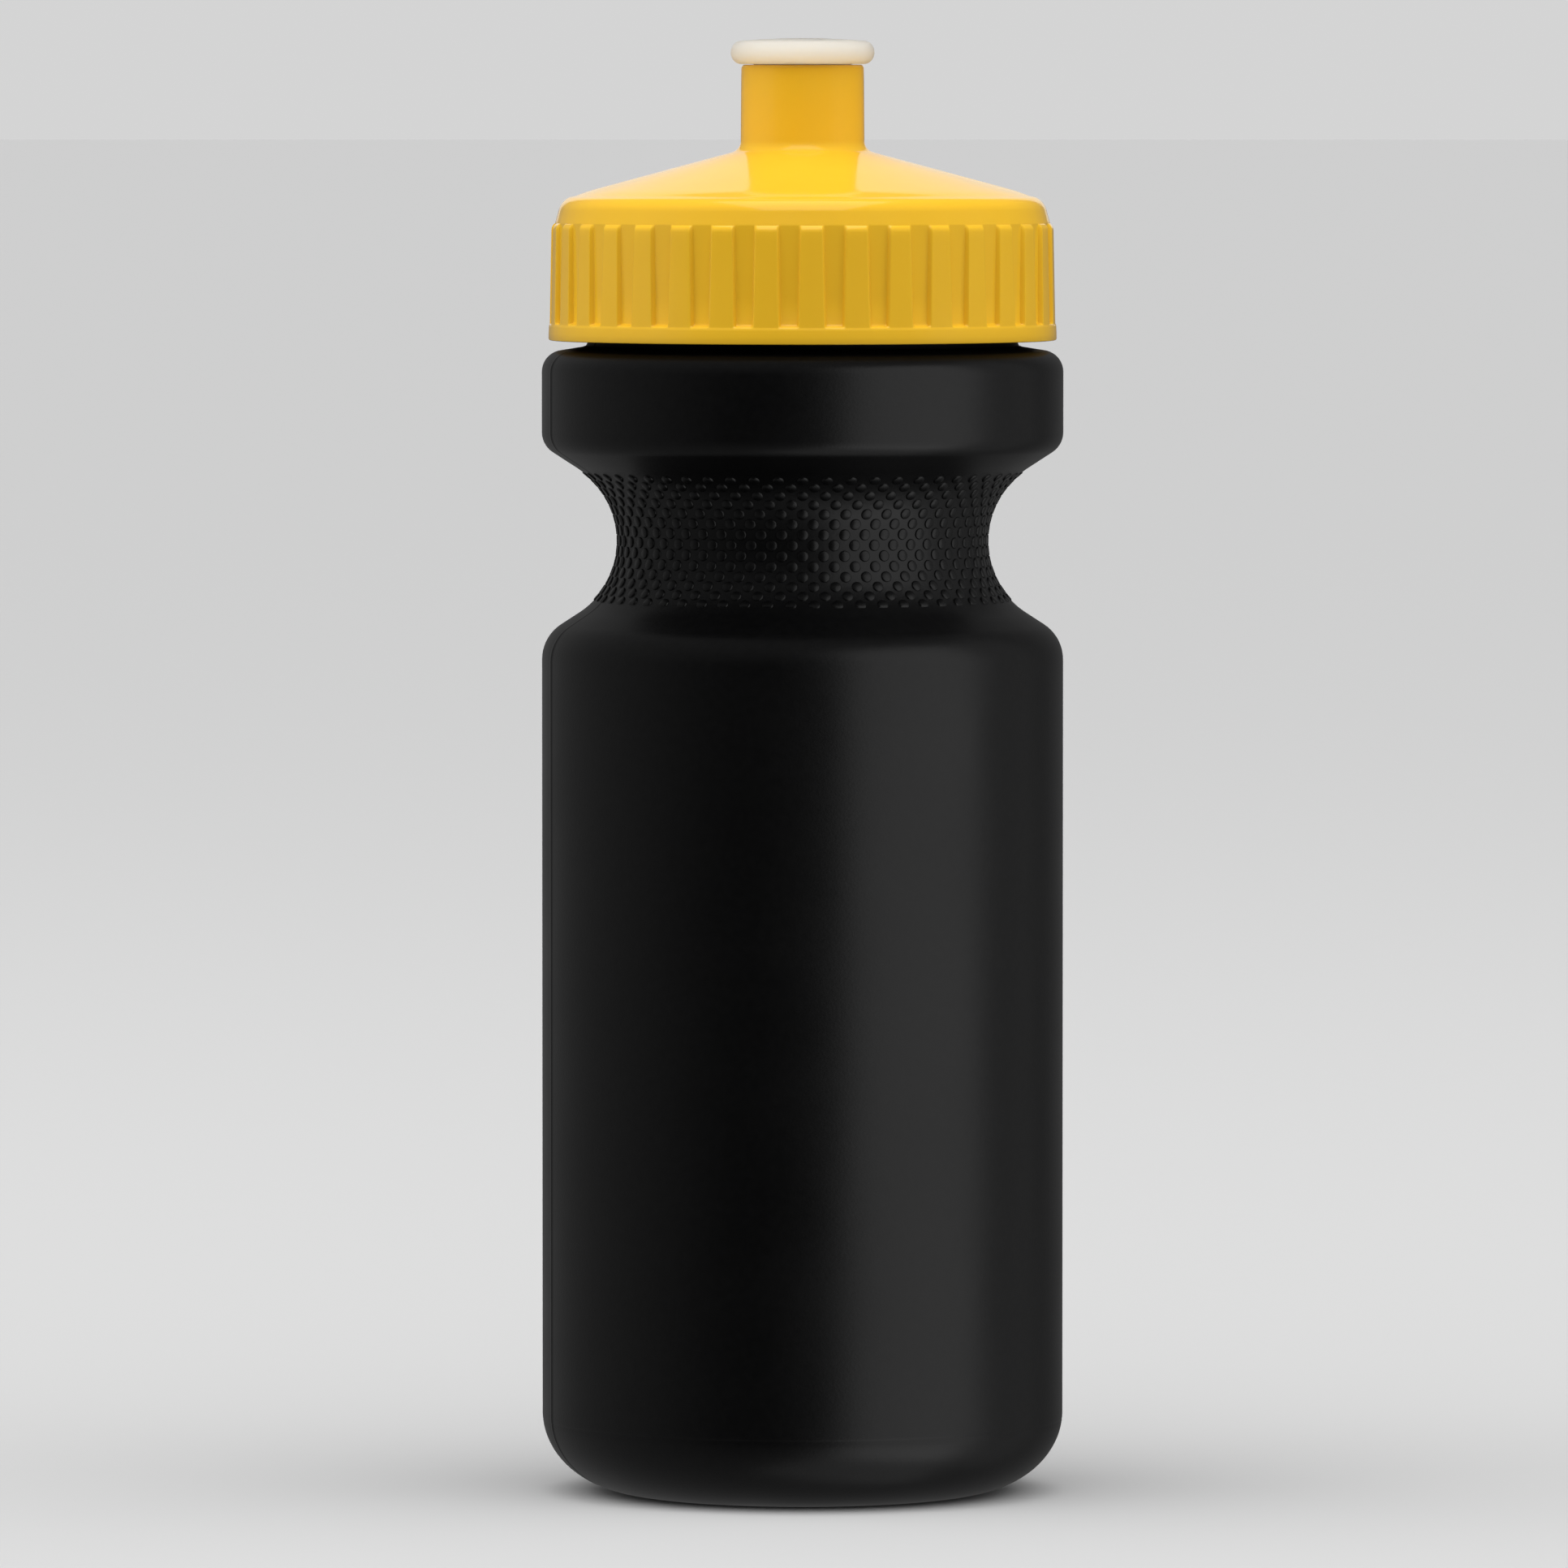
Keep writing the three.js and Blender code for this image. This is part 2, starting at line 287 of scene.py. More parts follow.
def bottle_inside():
    low, high = shoulder_fillets(WALL)
    bulge = BULGE_FILLET - WALL
    steps = 16
    groove = [groove_point(GROOVE_END * (2 * i / steps - 1), WALL) for i in range(steps + 1)]
    outline = base_outline(WALL, 12)
    outline += arc(*low[:2], low[2], low[2], 0, SWEEP, 5) + groove
    outline += arc(*high[:2], high[2], high[2], -SWEEP, 0, 4)
    outline += arc(BODY_R - BULGE_FILLET, BULGE_TOP - BULGE_FILLET, bulge, bulge, 0, 86, 5)
    outline += [(NECK_BORE + 0.6, NECK_STUB_Z - WALL), (NECK_BORE + 0.1, NECK_STUB_Z - WALL + 0.3)]
    outline += [(NECK_BORE, NECK_STUB_Z), (NECK_BORE, RIM_Z - 0.4), (NECK_BORE + 0.4, RIM_Z)]
    return outline[::-1]


def grip_dots(bm, low_ring, high_ring, mid_v):
    """The dotted band: a diamond of faces round each dot, joined to the rings below and above.

    Half-steps a run round the bottle and k up it. A dot stands where a + k is even, and diamonds meet
    where it is odd.
    """
    half_steps = 2 * DOTS_ROUND
    per_half = len(low_ring) // half_steps
    step = 2 * math.pi / half_steps
    start = math.radians(FRONT) + step

    def point(a, k, du=0.0, dv=0.0, height=0.0):
        v = mid_v + (k - (DOT_ROWS - 1) / 2) * DOT_ROW_GAP + dv
        r, z = groove_point(v)
        turn = v / GROOVE_ARC
        azimuth = start + a * step + du / r
        r += height * math.cos(turn)
        z -= height * math.sin(turn)
        return bm.verts.new((r * math.cos(azimuth), r * math.sin(azimuth), z))

    made = {}

    def shared(a, k):
        """A diamond's corner, or the middle of its side where a and k are halves."""
        key = (a % half_steps, k)
        if k == -1 or k == DOT_ROWS:
            return (low_ring if k < 0 else high_ring)[int(key[0] * per_half)]
        if key not in made:
            made[key] = point(*key)
        return made[key]

    around = [2 * math.pi * (i + 0.5) / DOT_SIDES for i in range(DOT_SIDES)]
    quarter = DOT_SIDES // 8
    for k in range(DOT_ROWS):
        for a in range(k % 2, half_steps, 2):
            edge = [shared(a + x / 2, k + y / 2) for x, y in
                    ((2, 0), (1, 1), (0, 2), (-1, 1), (-2, 0), (-1, -1), (0, -2), (1, -1))]
            rings = []
            for radius, height, cut in DOT_RINGS:
                lowest = -cut if k == 0 else -radius
                steps = [(radius * math.cos(t), max(radius * math.sin(t), lowest)) for t in around]
                rings.append([point(a, k, du, dv, height) for du, dv in steps])
            foot = rings[0]
            for i in range(8):
                here = [foot[(quarter * i + n - 1) % DOT_SIDES] for n in range(quarter + 1)]
                after = foot[(quarter * (i + 1) - 1) % DOT_SIDES]
                bm.faces.new([edge[i], here[1], here[0]])
                bm.faces.new([edge[i], edge[(i + 1) % 8], after, here[1]])
            for inner, outer in zip(rings[1:], rings):
                bridge(bm, outer, inner)
            bm.faces.new(rings[-1])

    for y, rim, k in ((-1, low_ring, 0), (1, high_ring, DOT_ROWS - 1)):
        for a in range(k % 2, half_steps, 2):
            # between the diamond of the dot at a and the next one
            base = [rim[int((a + s / per_half) * per_half) % len(rim)] for s in range(2 * per_half + 1)]
            zigzag = [shared(a + s / 2, k + y * (1 - s / 2 if s <= 2 else s / 2 - 1)) for s in (1, 2, 3)]
            bm.faces.new([base[0], base[1], zigzag[0]])
            bm.faces.new([base[1], base[2], zigzag[1], zigzag[0]])
            bm.faces.new([base[2], base[3], zigzag[2], zigzag[1]])
            bm.faces.new([base[3], base[4], zigzag[2]])


def raise_seam(bm):
    """The mould's parting line: a fine ridge up both sides, and the pinch-off ridge across the base."""
    along = Vector((math.cos(math.radians(SEAM_AZIMUTH)), math.sin(math.radians(SEAM_AZIMUTH)), 0))
    across = Vector((-along.y, along.x, 0))
    for offset in (-1, -0.35, 0.35, 1):
        bmesh.ops.bisect_plane(
            bm,
            geom=bm.verts[:] + bm.edges[:] + bm.faces[:],
            dist=1e-5,
            plane_co=across * offset * SEAM_HALF_WIDTH,
            plane_no=across,
        )
    bm.normal_update()
    for vert in bm.verts:
        if abs(vert.co.dot(across)) > 0.5 * SEAM_HALF_WIDTH:
            continue
        radius = vert.co.xy.length
        out = vert.co.xy.normalized().to_3d() if radius > 1e-6 else Vector()
        faces_out = vert.normal.dot(out) > 0.2 and radius > GROOVE_R - 0.5
        in_hollow = vert.normal.z < -0.5 and radius < BASE_RING[0] - 2 and vert.co.z < PUSH_UP + 0.1
        if faces_out and 1.5 < vert.co.z < RIM_Z - 1:
            vert.co += out * SEAM_HEIGHT
        elif in_hollow:
            vert.co.z -= PINCH_OFF_HEIGHT


def thread_section(root_half, crest_half):
    """Points of a thread's section: how far out as a share of its height, and how far up in millimetres."""
    low = [(-0.6, -root_half - 0.15), (0.0, -root_half)]
    low += [(0.75, -crest_half - 0.12), (0.95, -crest_half + 0.08), (1.0, -crest_half + 0.3)]
    return low + [(out, -up) for out, up in low[::-1]]


def helix_ridge(name, wall_r, side, height, root_half, crest_half, start_z, start_angle):
    """A right-handed thread ridge with a rounded crest, tapered into its wall at both ends.

    With side 1 it stands outside its wall and runs down, and with side -1 it stands inside and runs up.
    """
    bm = bmesh.new()
    rows = []
    for i in range(THREAD_STEPS + 1):
        along = i / THREAD_STEPS
        rise = math.sin(min(1.0, along / THREAD_FADE, (1 - along) / THREAD_FADE) * math.pi / 2)
        crest = (height + THREAD_ROOT) * rise - THREAD_ROOT
        turned = -side * along * TURNS
        angle = math.radians(start_angle) + turned * 2 * math.pi
        row = []
        for out, up in thread_section(root_half, crest_half):
            r = wall_r + side * (out if out < 0 else out * crest)
            z = start_z + turned * PITCH + up
            row.append(bm.verts.new((r * math.cos(angle), r * math.sin(angle), z)))
        rows.append(row)
    for low, high in zip(rows, rows[1:]):
        bridge(bm, low, high)
    bm.faces.new(rows[0])
    bm.faces.new(rows[-1][::-1])
    return make(name, bm)


def bottle_shell():
    mid_v = DOTS_CENTRE_Z - GROOVE_Z
    half_band = (DOT_ROWS + 1) / 2 * DOT_ROW_GAP
    angles = even_angles(4 * DOTS_ROUND, FRONT + 180 / DOTS_ROUND)
    bm = bmesh.new()
    low = revolve(bm, bottle_outside_low(mid_v - half_band), angles)
    high = revolve(bm, bottle_outside_high(mid_v + half_band) + bottle_inside(), angles)
    grip_dots(bm, low[-1], high[0], mid_v)
    bmesh.ops.recalc_face_normals(bm, faces=bm.faces)
    raise_seam(bm)
    shell = make("bottle_shell", bm)
    thread = helix_ridge(
        "neck_thread", NECK_R, side=1, height=1.9, root_half=1.15, crest_half=0.6,
        start_z=NECK_THREAD_Z, start_angle=0,
    )
    unite(shell, thread)
    finish_surface(shell)
    return shell


# ---------------------------------------------------------------- lid


def cone_z(r, depth=0.0):
    """Height of the cone at a radius, depth millimetres under its surface."""
    slope = math.radians(CONE_SLOPE)
    return CONE_TOP - (r - CHIMNEY_R) * math.tan(slope) - depth / math.cos(slope)


def rib_columns(half):
    """Distance round from a rib's middle, and how far up its height, for the columns of one rib."""
    pitch = 2 * math.pi * RIB_R[0] / RIBS
    side = [(pitch / 2, 0.0), (half + 0.50, 0.0), (half + 0.36, 0.0), (half + 0.28, 0.05)]
    side += [(half + 0.04, 0.90), (half - 0.03, 0.985), (half - 0.14, 1.0), (half - 0.40, 1.0)]
    return [(-x, y) for x, y in side] + [(0.0, 1.0)] + side[:0:-1]


def ribbed_ring(bm, r, z, rib_share):
    """One ring of the lid. rib_share says how much of the ribs' height stands at this height."""
    up = min(1.0, max(0.0, (z - RIB_Z[0]) / (RIB_Z[1] - RIB_Z[0])))
    half = RIB_HALF[0] + (RIB_HALF[1] - RIB_HALF[0]) * up
    rib_r = RIB_R[0] + (RIB_R[1] - RIB_R[0]) * up
    verts = []
    for i in range(RIBS):
        middle = math.radians(FRONT + RIB_TURN) + 2 * math.pi * i / RIBS
        for x, height in rib_columns(half):
            radius = r + max(0.0, rib_r - r) * height * rib_share
            angle = middle + x / RIB_R[0]
            verts.append(bm.verts.new((radius * math.cos(angle), radius * math.sin(angle), z)))
    return verts


def skirt_outline():
    """The skirt's outside as (radius, height, share of the ribs), from its foot up to the ribs' tops."""
    # inwards from the flange's edge, outwards from the skirt's wall, and both up from the skirt's foot
    flange = [(0.25, 0), (0.07, 0.07), (0, 0.25), (0.01, 1.0), (0.05, 1.9), (0.09, 2.15), (0.17, 2.3)]
    ledge = [(0.62, 2.4), (0.32, 2.5), (0.12, 2.62), (0.02, 2.85)]
    # share of the ribs' height, and how far down from their tops
    rib_tops = [(1.0, 1.0), (0.94, 0.7), (0.78, 0.45), (0.52, 0.25), (0.25, 0.1), (0.0, 0.02)]
    rows = [(LID_BORE + 0.35, SKIRT_FOOT_Z, 0.0)]
    rows += [(FLANGE_R - inwards, SKIRT_FOOT_Z + up, 0.0) for inwards, up in flange]
    rows += [(SKIRT_R + out, SKIRT_FOOT_Z + up, 1.0) for out, up in ledge]
    rows += [(SKIRT_R, z, 1.0) for z in (168, 172, 176)]
    rows += [(SKIRT_R, RIB_Z[1] - down, share) for share, down in rib_tops]
    return rows + [(SKIRT_R - 0.02, RIB_Z[1] + 0.1, 0.0), (SKIRT_R - 0.12, RIB_Z[1] + 0.4, 0.0)]


def cone_outline():
    """The rounded shoulder, the cone and the fillet at the chimney's foot."""
    shoulder_r = SHOULDER_R - SHOULDER_FILLET
    shoulder_z = cone_z(shoulder_r, SHOULDER_FILLET) - 0.12
    points = arc(shoulder_r, shoulder_z, SHOULDER_FILLET, SHOULDER_FILLET, 13, 66, 9)
    blend = ((31.8, 0.22), (31.0, 0.12), (30.2, 0.05), (29.4, 0.015))  # radius, and height under the cone
    points += [(r, cone_z(r) - under) for r, under in blend]
    points += [(r, cone_z(r)) for r in (28.6, 21, 15)]
    foot = CHIMNEY_R + FOOT_FILLET
    return points + arc(foot, cone_z(foot, -FOOT_FILLET), FOOT_FILLET, FOOT_FILLET, 270 - CONE_SLOPE, 180, 8)


def chimney_outline():
    """Up the chimney's outside, over its retaining lip, down its bore and round its open foot."""
    top, foot = CHIMNEY_TOP, CHIMNEY_FOOT_Z
    points = [(CHIMNEY_R - 0.04, 195)] + arc(CHIMNEY_R - 0.57, top - 0.5, 0.5, 0.5, 0, 90, 5)
    points += [(LIP_BORE + 0.3, top), (LIP_BORE + 0.1, top - 0.08), (LIP_BORE, top - 0.3)]
    points += [(LIP_BORE, 198.2), (LIP_BORE + 0.1, 198.05), (CHIMNEY_BORE, 197.8)]
    points += [(CHIMNEY_BORE, 190), (CHIMNEY_BORE, foot), (CHIMNEY_BORE + 0.2, foot - 0.2)]
    return points + [(CHIMNEY_R, foot - 0.2), (CHIMNEY_R, foot)]


def lid_inside():
    """Under the cone, round the plug ring, across the seat and down the threaded wall."""
    inner, outer = PLUG
    points = arc(CHIMNEY_R + 0.5, cone_z(CHIMNEY_R, LID_WALL) - 0.64, 0.5, 0.5, 180, 90 - CONE_SLOPE, 3)
    points += [(r, cone_z(r, LID_WALL)) for r in (15, 21, inner - 0.6)]
    points += [(inner - 0.12, cone_z(inner, LID_WALL) - 0.1), (inner, cone_z(inner, LID_WALL) - 0.6)]
    points += [(inner, PLUG_Z + 0.7)] + arc((inner + outer) / 2, PLUG_Z + 0.55, 0.65, 0.55, 180, 360, 8)
    points += [(outer, PLUG_Z + 0.7), (outer, SEAT_Z - 0.3), (outer + 0.1, SEAT_Z - 0.08)]
    points += [(outer + 0.3, SEAT_Z), (LID_BORE - 0.4, SEAT_Z)]
    points += [(LID_BORE - 0.1, SEAT_Z - 0.1), (LID_BORE, SEAT_Z - 0.4)]
    points += [(LID_BORE, z) for z in (174, 170, 166, SKIRT_FOOT_Z + 0.6)]
    return points + [(LID_BORE + 0.1, SKIRT_FOOT_Z + 0.2)]


def lid_outline():
    """The lid's closed outline as (radius, height, share of the ribs)."""
    plain = cone_outline() + chimney_outline() + lid_inside()
    return skirt_outline() + [(r, z, 0.0) for r, z in plain]


def spoke(index, reach, low):
    """One of the valve pin's three spokes, from the axis out into the chimney's wall."""
    width, height = 1.8, 2.4
    bm = bmesh.new()
    bmesh.ops.create_cube(bm, size=1)
    bmesh.ops.scale(bm, vec=(reach, width, height), verts=bm.verts)
    long_edges = [e for e in bm.edges if abs(e.verts[0].co.x - e.verts[1].co.x) > 1]
    bmesh.ops.bevel(bm, geom=long_edges, offset=0.4, segments=3, affect="EDGES", profile=0.5)
    bmesh.ops.translate(bm, vec=(reach / 2, 0, low + height / 2), verts=bm.verts)
    turn = Matrix.Rotation(math.radians(90 + 120 * index), 3, "Z")
    bmesh.ops.rotate(bm, cent=(0, 0, 0), matrix=turn, verts=bm.verts)
    return make(f"spoke_{index}", bm)


def valve_pin():
    """The pin that plugs the mouthpiece, on three spokes across the chimney's foot."""
    low, tip = CHIMNEY_FOOT_Z, LID_HIGH.z
    outline = [(0, low), (2.2, low), (2.4, low + 0.2), (2.4, low + 3.2), (2.3, low + 4.0), (2.12, low + 5.0)]
    outline += [(2.1, tip - 0.6)] + arc(1.6, tip - 0.5, 0.5, 0.5, 0, 90, 5) + [(0, tip - 0.15)]
    bm = bmesh.new()
    revolve(bm, outline, even_angles(64))
    pin = make("pin", bm)
    unite(pin, *[spoke(i, (CHIMNEY_BORE + CHIMNEY_R) / 2, low + 0.05) for i in range(3)])
    return pin


def lid_shell():
    bm = bmesh.new()
    rings = [ribbed_ring(bm, *row) for row in lid_outline()]
    for low, high in zip(rings, rings[1:] + rings[:1]):
        bridge(bm, low, high)
    lid = make("lid_shell", bm)
    thread = helix_ridge(
        "lid_thread", LID_BORE, side=-1, height=1.7, root_half=1.05, crest_half=0.5,
        start_z=NECK_THREAD_Z - TURNS * PITCH - LID_THREAD_BELOW, start_angle=-TURNS * 360,
    )
    unite(lid, thread, valve_pin())
    finish_surface(lid)
    return lid


# ---------------------------------------------------------------- mouthpiece and sealing ring


def spout():
    """The push-pull mouthpiece: a soft-edged flange with a crowned top, on a tube with a snap bead."""
    low, high = MOUTH_LOW.z, MOUTH_HIGH.z
    foot_z = CHIMNEY_TOP + 0.08
    rim_z = (high - SPOUT_CROWN + foot_z) / 2
    rim_r = SPOUT_R - SPOUT_EDGE
    bead = TUBE_R + 0.6
    hole_foot_z = high - 1.8
    outline = arc(HOLE_R + 0.35, high - 0.36, 0.35, 0.35, 180, 90, 4)
    outline += [(r, high - SPOUT_CROWN * (r / rim_r) ** 2) for r in (3.6, 4.6, 5.6, 6.6, 7.5)]
    outline += arc(rim_r, rim_z, SPOUT_EDGE, rim_z - foot_z, 86, -90, 20)
    outline += [(TUBE_R + 0.3, foot_z), (TUBE_R + 0.08, foot_z - 0.1), (TUBE_R, foot_z - 0.35), (TUBE_R, 195)]
    outline += [(TUBE_R, low + 2.0), (TUBE_R + 0.1, low + 1.75), (bead - 0.1, low + 1.45), (bead, low + 1.2)]
    outline += [(bead, low + 0.55), (bead - 0.2, low + 0.2), (bead - 0.4, low)]
    outline += [(TUBE_BORE + 0.2, low), (TUBE_BORE + 0.05, low + 0.05), (TUBE_BORE, low + 0.2)]
    outline += [(TUBE_BORE, 195), (TUBE_BORE, high - 2.6)]
    outline += arc(TUBE_BORE - 0.8, high - 2.6, 0.8, 0.8, 10, 90, 4)
    outline += [(HOLE_R + 0.3, hole_foot_z), (HOLE_R + 0.05, hole_foot_z + 0.1)]
    outline += [(HOLE_R, hole_foot_z + 0.3), (HOLE_R, high - 0.6)]
    bm = bmesh.new()
    rings = revolve(bm, outline, even_angles(120))
    bridge(bm, rings[-1], rings[0])
    piece = make("spout", bm)
    finish_surface(piece)
    return piece


def seal():
    """The soft ring, with a shallow bead along the middle of both faces."""
    inner, outer = SEAL_BORE, RING_HIGH.x
    low, high = RING_LOW.z + SEAL_BEAD, RING_HIGH.z - SEAL_BEAD
    middle = (inner + outer) / 2
    edge = 0.3
    bead = [(middle - 0.6, 0.0), (middle - edge, SEAL_BEAD - 0.04), (middle, SEAL_BEAD)]
    half = [(inner + edge, 0.0)] + bead
    across = half + [(2 * middle - r, out) for r, out in half[2::-1]]
    outline = [(r, low - out) for r, out in across]
    outline += arc(outer - edge, low + edge, edge, edge, -60, 0, 3)
    outline += arc(outer - edge, high - edge, edge, edge, 0, 60, 3)
    outline += [(r, high + out) for r, out in across[::-1]]
    outline += arc(inner + edge, high - edge, edge, edge, 120, 180, 3)
    outline += arc(inner + edge, low + edge, edge, edge, 180, 240, 3)
    bm = bmesh.new()
    rings = revolve(bm, outline, even_angles(160))
    bridge(bm, rings[-1], rings[0])
    piece = make("seal", bm)
    finish_surface(piece)
    return piece


# ---------------------------------------------------------------- materials


NOISE_SPREAD = (0.3, 0.7)  # nearly all of a noise texture's values lie between these


def map_range(tree, value, source, target):
    made = tree.nodes.new("ShaderNodeMapRange")
    for socket, number in zip(("From Min", "From Max", "To Min", "To Max"), (*source, *target)):
        made.inputs[socket].default_value = number
    tree.links.new(value, made.inputs["Value"])
    return made.outputs["Result"]


class Surface:
    """A Principled material whose colour, roughness and bump are built up from procedural nodes."""

    def __init__(self, name, colour, roughness, **constants):
        self.material = bpy.data.materials.new(name)
        self.material.use_nodes = True
        self.tree = self.material.node_tree
        self.shader = self.tree.nodes["Principled BSDF"]
        self.shader.inputs["Base Color"].default_value = (*colour, 1)
        self.shader.inputs["Roughness"].default_value = roughness
        for socket, value in constants.items():
            self.shader.inputs[socket.replace("_", " ")].default_value = value
        self.place = self.node("ShaderNodeTexCoord").outputs["Object"]
        self.normal = None

    def node(self, kind, **settings):
        made = self.tree.nodes.new(kind)
        for key, value in settings.items():
            if isinstance(value, (int, float, tuple)) and key in made.inputs:
                made.inputs[key].default_value = value
            else:
                setattr(made, key, value)
        return made

    def noise(self, scale, detail=2.0, rough=0.5, stretch=(1, 1, 1)):
        mapping = self.node("ShaderNodeMapping", Scale=stretch)
        noise = self.node("ShaderNodeTexNoise", Scale=scale, Detail=detail, Roughness=rough)
        self.tree.links.new(self.place, mapping.inputs["Vector"])
        self.tree.links.new(mapping.outputs["Vector"], noise.inputs["Vector"])
        return noise.outputs["Fac"]

    def roughness(self, value, low, high):
        spread = map_range(self.tree, value, NOISE_SPREAD, (low, high))
        self.tree.links.new(spread, self.shader.inputs["Roughness"])

    def colour(self, value, first, second):
        mix = self.node("ShaderNodeMix", data_type="RGBA")
        for index, tint in ((6, first), (7, second)):  # the colour sockets A and B
            mix.inputs[index].default_value = (*tint, 1)
        self.tree.links.new(map_range(self.tree, value, NOISE_SPREAD, (0, 1)), mix.inputs["Factor"])
        self.tree.links.new(mix.outputs[2], self.shader.inputs["Base Color"])

    def bump(self, value, distance, strength=1.0):
        made = self.node("ShaderNodeBump", Strength=strength, Distance=distance)
        self.tree.links.new(value, made.inputs["Height"])
        if self.normal:
            self.tree.links.new(self.normal, made.inputs["Normal"])
        self.normal = made.outputs["Normal"]
        self.tree.links.new(self.normal, self.shader.inputs["Normal"])

    def on(self, piece):
        piece.data.materials.clear()
        piece.data.materials.append(self.material)


def black_plastic():
    made = Surface("black_plastic", (0.002, 0.002, 0.002), 0.34, Specular_IOR_Level=0.3)
    made.colour(made.noise(900, 3), (0.0016, 0.0016, 0.0017), (0.0024, 0.0024, 0.0025))
    made.roughness(made.noise(55, 3), 0.31, 0.37)
    made.bump(made.noise(30, 2, 0.4, (1, 1, 0.4)), 0.00012, 0.5)
    made.bump(made.noise(2600, 2), 0.00002, 0.6)
    return made


def yellow_plastic():
    made = Surface(
        "yellow_plastic", (0.90, 0.52, 0.026), 0.12, Specular_IOR_Level=0.45,
        Subsurface_Weight=0.08, Subsurface_Scale=0.0015,
    )
    made.shader.inputs["Subsurface Radius"].default_value = (1.0, 0.9, 0.3)
    made.colour(made.noise(70, 3), (0.89, 0.51, 0.025), (0.91, 0.53, 0.028))
    made.roughness(made.noise(120, 3), 0.10, 0.15)
    made.bump(made.noise(160, 2, 0.4), 0.00002, 0.4)
    made.bump(made.noise(2600, 2), 0.000004, 0.4)
    return made


def natural_plastic():
    made = Surface(
        "natural_plastic", (0.74, 0.69, 0.60), 0.4, Specular_IOR_Level=0.35,
        Subsurface_Weight=1.0, Subsurface_Scale=0.01,
    )
    made.shader.inputs["Subsurface Radius"].default_value = (1.0, 0.95, 0.9)
    made.colour(made.noise(140, 3), (0.727, 0.677, 0.587), (0.753, 0.703, 0.613))
    made.roughness(made.noise(200, 3), 0.36, 0.45)
    made.bump(made.noise(2400, 2), 0.000008, 0.5)
    return made


def silicone():
    made = Surface("silicone", (0.5, 0.51, 0.49), 0.5, Specular_IOR_Level=0.35)
    made.colour(made.noise(500, 3), (0.47, 0.48, 0.46), (0.54, 0.55, 0.53))
    made.roughness(made.noise(260, 3), 0.44, 0.58)
    made.bump(made.noise(3000, 2), 0.00001, 0.5)
    return made


# ---------------------------------------------------------------- studio


BACKDROP = (0.66, 0.66, 0.66)
PAPER = (0.735, 0.735, 0.735)
SURROUND = 0.21  # strength of the surround away from its darkest direction
SURROUND_SIDES = (1.5, 0.5)  # its share on the left and on the right
SURROUND_FALL = 7  # how closely the dark gathers round its direction
DARKEST_WAY = (-0.3, -0.95, 0)

ON_BODY = (0, 0, 0.12)  # what a softbox is aimed at
ON_LID = (0, 0, 0.19)

LENS = 328
CAMERA_PLACE = (-0.0026, -2.0, 0.199)
CAMERA_AIM = (-0.0026, 0, 0.0993)


def floor():
    bm = bmesh.new()
    bmesh.ops.create_circle(bm, cap_ends=True, radius=40, segments=96)
    mesh = bpy.data.meshes.new("floor")
    bm.to_mesh(mesh)
    bm.free()
    made = bpy.data.objects.new("floor", mesh)
    bpy.context.scene.collection.objects.link(made)
    paper = bpy.data.materials.new("paper")
    paper.use_nodes = True
    shader = paper.node_tree.nodes["Principled BSDF"]
    shader.inputs["Base Color"].default_value = (*PAPER, 1)
    shader.inputs["Roughness"].default_value = 1.0
    shader.inputs["Specular IOR Level"].default_value = 0.0
    mesh.materials.append(paper)
    # The softboxes light the pieces, and the floor does not. The key reaches below it.
    made.visible_glossy = made.visible_diffuse = made.visible_shadow = False


def world():
    """A pale backdrop for the camera. The light is a dim surround, darkest in front and on the right."""
    made = bpy.data.worlds.new("studio")
    bpy.context.scene.world = made
    made.use_nodes = True
    tree = made.node_tree
    new, link = tree.nodes.new, tree.links.new
    direction = new("ShaderNodeTexCoord").outputs["Generated"]
    facing, axes = new("ShaderNodeVectorMath"), new("ShaderNodeSeparateXYZ")
    facing.operation = "DOT_PRODUCT"
    facing.inputs[1].default_value = Vector(DARKEST_WAY).normalized()
    link(direction, facing.inputs[0])
    link(direction, axes.inputs[0])
    fall, strength = new("ShaderNodeMath"), new("ShaderNodeMath")
    fall.operation, strength.operation = "POWER", "MULTIPLY"
    fall.inputs[1].default_value = SURROUND_FALL
    link(map_range(tree, facing.outputs["Value"], (-1, 1), (0, 1)), fall.inputs[0])
    link(map_range(tree, fall.outputs[0], (0, 1), (SURROUND, 0)), strength.inputs[0])
    link(map_range(tree, axes.outputs["X"], (-1, 1), SURROUND_SIDES), strength.inputs[1])
    surround, backdrop = new("ShaderNodeBackground"), tree.nodes["Background"]
    link(strength.outputs[0], surround.inputs["Strength"])
    backdrop.inputs["Color"].default_value = (*BACKDROP, 1)
    mix = new("ShaderNodeMixShader")
    link(new("ShaderNodeLightPath").outputs["Is Camera Ray"], mix.inputs[0])
    link(surround.outputs[0], mix.inputs[1])
    link(backdrop.outputs[0], mix.inputs[2])
    link(mix.outputs[0], tree.nodes["World Output"].inputs["Surface"])


def lamp(name, kind, power, place, aim, glossy, only):
    """A light that the camera doesn't see. Where only is given, it lights just those pieces."""
    light = bpy.data.lights.new(name, kind)
    light.energy = power
    made = bpy.data.objects.new(name, light)
    made.location = place
    made.rotation_euler = (Vector(aim) - Vector(place)).to_track_quat("-Z", "Y").to_euler()
    made.visible_camera = False
    made.visible_glossy = glossy
    bpy.context.scene.collection.objects.link(made)
    if only:
        lit = bpy.data.collections.new(f"{name}_lights")
        for piece in only:
            lit.objects.link(piece)
        made.light_linking.receiver_collection = lit
    return light


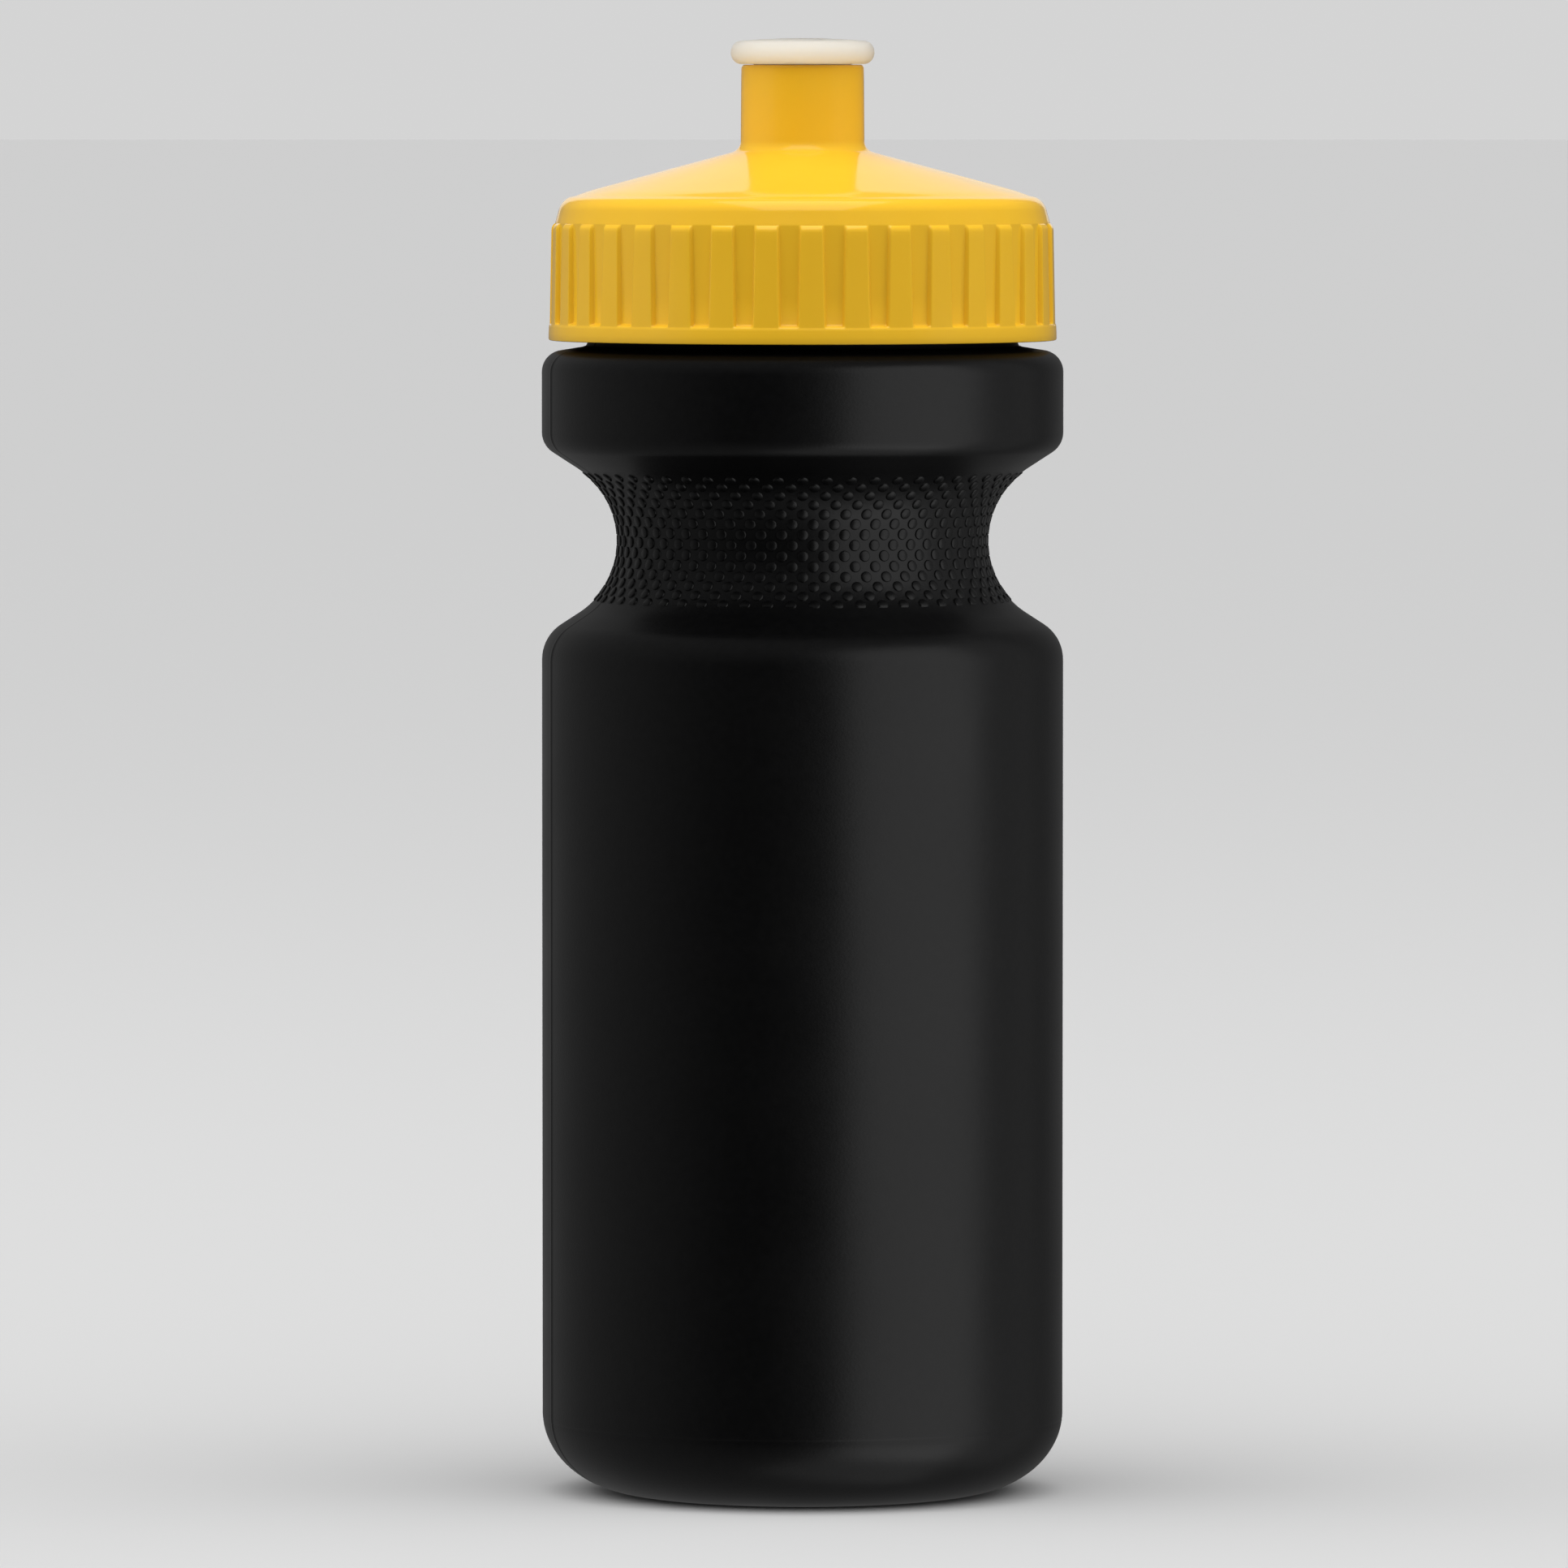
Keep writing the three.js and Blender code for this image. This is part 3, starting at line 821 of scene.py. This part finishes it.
def softbox(name, place, size, power, aim=(0, 0, 0.1), glossy=True, only=()):
    """An area light. Where glossy is off, it doesn't show as a reflection."""
    light = lamp(name, "AREA", power, place, aim, glossy, only)
    light.shape = "RECTANGLE"
    light.size, light.size_y = size


def studio(bottle, lid, mouthpiece):
    """Soft light from above and both sides, then the softboxes that light one or two pieces."""
    overhead = lamp("overhead", "SUN", 2.42, (0, -0.95, 2), aim=(0, 0, 0), glossy=False, only=())
    overhead.angle = math.radians(100)
    softbox("fill_right", (1.35, 0, 0.45), (2.0, 2.0), 7.6, glossy=False)
    softbox("fill_left", (-1.35, 0, 0.45), (2.0, 2.0), 8, glossy=False)
    softbox("front", (0, -1.5, -0.2), (1.0, 1.0), 11, aim=(0, 0, 0.2), glossy=False, only=[mouthpiece])
    softbox("lid_left", (-0.5, -0.1, 0.25), (0.4, 0.4), 0.32, aim=ON_LID, glossy=False, only=[lid])
    softbox("lid_right", (0.5, -0.1, 0.25), (0.4, 0.4), 0.45, aim=ON_LID, glossy=False, only=[lid])
    softbox("key", (0.617, -0.503, 0.12), (0.97, 1.9), 6.4, aim=ON_BODY, only=[bottle])
    softbox("key_edge", (0.79, 0.125, 0.12), (0.63, 1.9), 0.8, aim=ON_BODY, only=[bottle])
    softbox("bounce", (0.42, -0.42, -0.85), (1.1, 1.1), 1.8, aim=(0, 0, 0.05), only=[bottle, lid])
    softbox("behind", (0, 1.5, 0.65), (0.9, 0.9), 1.5, aim=ON_LID, only=[lid])
    softbox("above", (0, -0.25, 1.1), (0.7, 1.3), 3.8, aim=ON_LID, only=[lid])
    bpy.context.scene.view_settings.view_transform = "Standard"


def camera():
    """A long lens, nearly level, a little above the foot of the spout."""
    data = bpy.data.cameras.new("camera")
    data.sensor_width = 36
    data.lens = LENS
    data.clip_start = 0.1
    data.clip_end = 50
    made = bpy.data.objects.new("camera", data)
    place, aim = Vector(CAMERA_PLACE), Vector(CAMERA_AIM)
    made.location = place
    made.rotation_euler = (aim - place).to_track_quat("-Z", "Y").to_euler()
    bpy.context.scene.collection.objects.link(made)
    bpy.context.scene.camera = made


# ---------------------------------------------------------------- the scene

camera()
world()
floor()

pieces = []
for build, node, body, slot, surface in (
    (bottle_shell, "bottle_body", "bottle", "bottle_plastic", black_plastic),
    (lid_shell, "screw_lid", "lid", "lid_plastic", yellow_plastic),
    (spout, "mouthpiece", "mouthpiece", "mouthpiece_plastic", natural_plastic),
    (seal, "sealing_ring", "seal", "seal_rubber", silicone),
):
    piece = build()
    surface().on(piece)
    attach(piece, body)
    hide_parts(node)
    pieces.append(piece)

studio(*pieces[:3])
